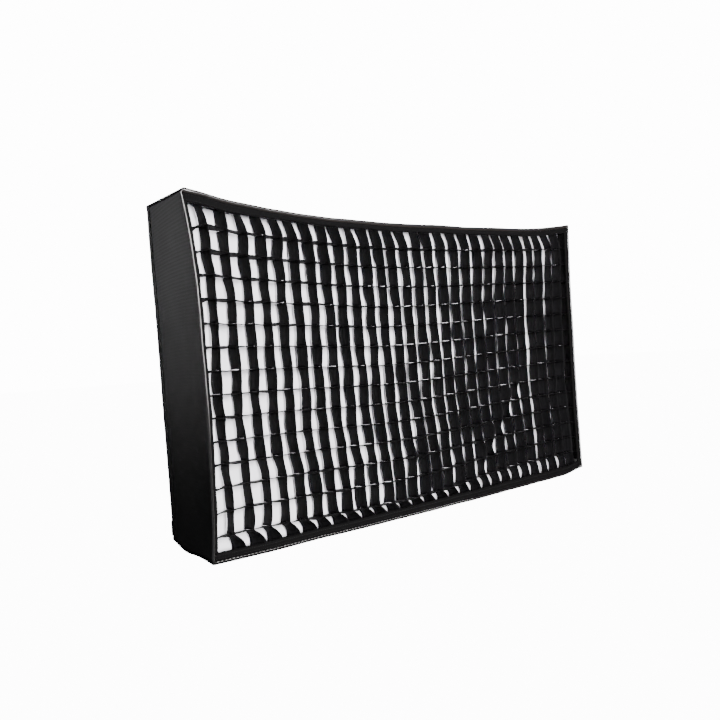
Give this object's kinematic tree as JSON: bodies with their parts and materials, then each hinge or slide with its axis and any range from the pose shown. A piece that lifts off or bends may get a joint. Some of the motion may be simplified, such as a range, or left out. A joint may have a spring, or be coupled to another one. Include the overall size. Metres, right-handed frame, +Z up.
{
  "type": "strip softbox",
  "caption": "Shallow straight-sided fabric light box with an egg-crate grid over a diffuser, a light mat on a four-armed frame, and a tilting stand bracket.",
  "frame": {"origin": "centre of the mouth of the stand socket, where a stand's stud enters from below", "axes": "+X along the box's width, +Z up, and the box faces -Y"},
  "size_m": [0.9802, 0.326, 0.6],
  "materials": {
    "black_fabric": "woven nylon, matt",
    "grid_fabric": "thin woven nylon, matt",
    "hem_webbing": "ribbed webbing, matt",
    "piping_grey": "woven cord, matt",
    "silver_lining": "metallised fabric, satin",
    "hook_tape": "hook tape, matt",
    "white_diffuser": "translucent woven cloth, matt",
    "mat_fabric": "coated woven fabric, matt",
    "led_sheet": "white coated sheet, satin",
    "led_yellow": "phosphor coating, satin",
    "black_nylon": "moulded, fine texture",
    "black_metal": "black powder coat, satin",
    "zinc_steel": "zinc plated, satin",
    "brass": "machined",
    "grey_fibreglass": "pultruded, satin",
    "rubber": "moulded, matt"
  },
  "bodies": {
    "bracket": {"stand_receiver": "black_metal", "tilt_bolt": "zinc_steel", "tilt_washer_left": "zinc_steel", "tilt_washer_right": "zinc_steel"},
    "clamp_foot": {"clamp_pad": "brass"},
    "clamp_turner": {"clamp_screw": "zinc_steel", "clamp_knob": "black_nylon"},
    "lever": {"lock_lever": "black_nylon", "lever_screw": "zinc_steel"},
    "head": {"tilt_knuckle": "black_metal", "hub_rear_plate": "black_metal", "hub_front_plate": "black_metal", "hub_screw_upper": "zinc_steel", "hub_screw_lower": "zinc_steel", "hub_spacer_upper": "zinc_steel", "hub_spacer_lower": "zinc_steel", "light_mat_back": "mat_fabric", "light_mat_face": "led_sheet", "led_array": "led_yellow", "power_inlet": "black_nylon", "inlet_pin": "brass", "hook_tape": "hook_tape", "front_piping": "piping_grey", "rear_hem": "hem_webbing", "arm_pin_upper_left": "zinc_steel", "arm_upper_left": "black_metal", "corner_socket_upper_left": "black_nylon", "corner_strut_upper_left": "grey_fibreglass", "strut_tip_upper_left": "rubber", "arm_pin_upper_right": "zinc_steel", "arm_upper_right": "black_metal", "corner_socket_upper_right": "black_nylon", "corner_strut_upper_right": "grey_fibreglass", "strut_tip_upper_right": "rubber", "arm_pin_lower_left": "zinc_steel", "arm_lower_left": "black_metal", "corner_socket_lower_left": "black_nylon", "corner_strut_lower_left": "grey_fibreglass", "strut_tip_lower_left": "rubber", "arm_pin_lower_right": "zinc_steel", "arm_lower_right": "black_metal", "corner_socket_lower_right": "black_nylon", "corner_strut_lower_right": "grey_fibreglass", "strut_tip_lower_right": "rubber", "panel_left": "black_fabric", "lining_left": "silver_lining", "panel_right": "black_fabric", "lining_right": "silver_lining", "panel_top": "black_fabric", "lining_top": "silver_lining", "panel_bottom": "black_fabric", "lining_bottom": "silver_lining"},
    "diffuser": {"diffuser_cloth": "white_diffuser", "diffuser_band": "hem_webbing"},
    "grid": {"grid_hem_left": "hem_webbing", "grid_hem_right": "hem_webbing", "grid_hem_top": "hem_webbing", "grid_hem_bottom": "hem_webbing", "grid_upright_strips": "grid_fabric", "grid_level_strips": "grid_fabric"}
  },
  "joints": [
    {"name": "tilt", "type": "hinge", "parent": "bracket", "child": "head", "pos_m": [0, 0, 0.09], "axis": [1, 0, 0], "range_deg": [-90, 45]},
    {"name": "lock_lever_turn", "type": "hinge", "parent": "bracket", "child": "lever", "pos_m": [0.0286, 0, 0.09], "axis": [1, 0, 0], "range_deg": [0, 100]},
    {"name": "clamp_feed", "type": "slide", "parent": "bracket", "child": "clamp_foot", "axis": [0, -1, 0], "range_m": [0, 0.0026]},
    {"name": "clamp_turn", "type": "hinge", "parent": "clamp_foot", "child": "clamp_turner", "pos_m": [0, 0.04, 0.022], "axis": [0, -1, 0], "range_deg": [0, 720]},
    {"name": "diffuser_lift_off", "type": "slide", "parent": "head", "child": "diffuser", "axis": [0, -1, 0], "range_m": [0, 0.2]},
    {"name": "grid_lift_off", "type": "slide", "parent": "diffuser", "child": "grid", "axis": [0, -1, 0], "range_m": [0, 0.2]}
  ],
  "couplings": [
    {"joint": "clamp_feed", "follows": "clamp_turn", "m_per_rad": 0.00019894}
  ]
}
